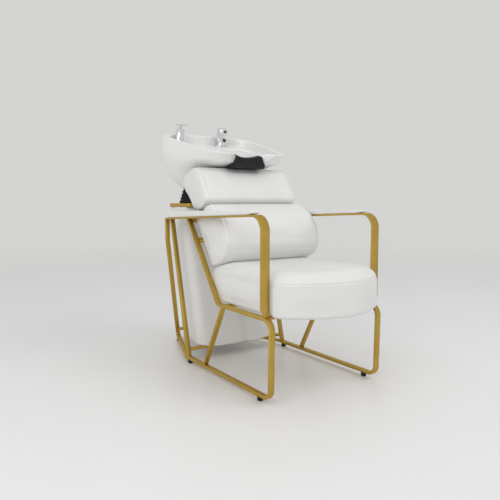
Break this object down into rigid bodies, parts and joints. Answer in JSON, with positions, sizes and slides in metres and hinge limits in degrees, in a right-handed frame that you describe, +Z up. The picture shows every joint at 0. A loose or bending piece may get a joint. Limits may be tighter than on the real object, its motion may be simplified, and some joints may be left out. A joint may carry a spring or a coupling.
{
  "type": "shampoo chair",
  "caption": "White salon shampoo chair on a gold flat-bar frame, with a tilting ceramic wash bowl, neck rest, lever mixer and lift-out hand shower.",
  "frame": {"origin": "on the floor, under the middle of the chair's box", "axes": "+Z up, the sitter looks along -Y, +X is the sitter's left"},
  "size_m": [0.58, 1.1698, 1.1026],
  "materials": {
    "gold_frame": "satin metallic gold",
    "white_upholstery": "satin leatherette",
    "white_ceramic": "glossy glaze",
    "black_rubber": "matt",
    "chrome": "polished",
    "board": "raw board",
    "steel": "zinc plated",
    "black_plastic": "matt",
    "waste_plastic": "moulded"
  },
  "bodies": {
    "chair": {"right_side_frame": "gold_frame", "right_rear_loop": "gold_frame", "right_brace": "gold_frame", "right_rear_post": "gold_frame", "right_arm_strip": "gold_frame", "right_front_foot": "black_rubber", "right_middle_foot": "black_rubber", "right_rear_foot": "black_rubber", "right_arm_pad": "white_upholstery", "left_side_frame": "gold_frame", "left_rear_loop": "gold_frame", "left_brace": "gold_frame", "left_rear_post": "gold_frame", "left_arm_strip": "gold_frame", "left_front_foot": "black_rubber", "left_middle_foot": "black_rubber", "left_rear_foot": "black_rubber", "left_arm_pad": "white_upholstery", "front_seat_rail": "gold_frame", "rear_seat_rail": "gold_frame", "lower_back_rail": "gold_frame", "upper_back_rail": "gold_frame", "cabinet_front_rail": "gold_frame", "cabinet_rear_rail": "gold_frame", "shelf_plate": "gold_frame", "seat_buffers": "black_rubber", "bellows": "black_rubber", "seat_board": "board", "seat_cushion": "white_upholstery", "lumbar_cushion": "white_upholstery", "upper_back_cushion": "white_upholstery", "back_board": "white_upholstery", "cabinet": "white_upholstery", "cabinet_rear_panel": "black_plastic", "panel_screws": "steel", "shelf_bolts": "steel", "tilt_base": "steel", "tilt_pins": "steel"},
    "bowl": {"bowl": "white_ceramic", "neck_rest": "black_rubber", "drain_flange": "chrome", "drain_nut": "waste_plastic", "tailpiece": "waste_plastic", "tilt_cradle": "steel", "cradle_bolts": "steel", "mixer_body": "chrome", "shower_holder": "chrome"},
    "mixer_cap": {"mixer_cap": "chrome"},
    "mixer_lever": {"mixer_lever": "chrome"},
    "hand_shower": {"hand_shower": "chrome", "shower_nozzle": "black_plastic", "shower_button": "black_plastic"},
    "strainer": {"strainer": "chrome"}
  },
  "joints": [
    {"name": "bowl_tilt", "type": "hinge", "parent": "chair", "child": "bowl", "pos_m": [0, 0.43005, 0.745], "axis": [1, 0, 0], "range_deg": [-15, 0], "deforming": ["bellows"]},
    {"name": "mixer_turn", "type": "hinge", "parent": "bowl", "child": "mixer_cap", "pos_m": [-0.155, 0.46003, 1.06365], "axis": [0, -0.2605, 0.9655], "range_deg": [-45, 45]},
    {"name": "mixer_lift", "type": "hinge", "parent": "mixer_cap", "child": "mixer_lever", "pos_m": [-0.155, 0.4543, 1.08489], "axis": [0, -0.9655, -0.2605], "range_deg": [0, 25]},
    {"name": "shower_lift", "type": "slide", "parent": "bowl", "child": "hand_shower", "axis": [0, -0.2605, 0.9655], "range_m": [0, 0.08]},
    {"name": "strainer_lift", "type": "slide", "parent": "bowl", "child": "strainer", "axis": [0, -0.2605, 0.9655], "range_m": [0, 0.06]}
  ]
}
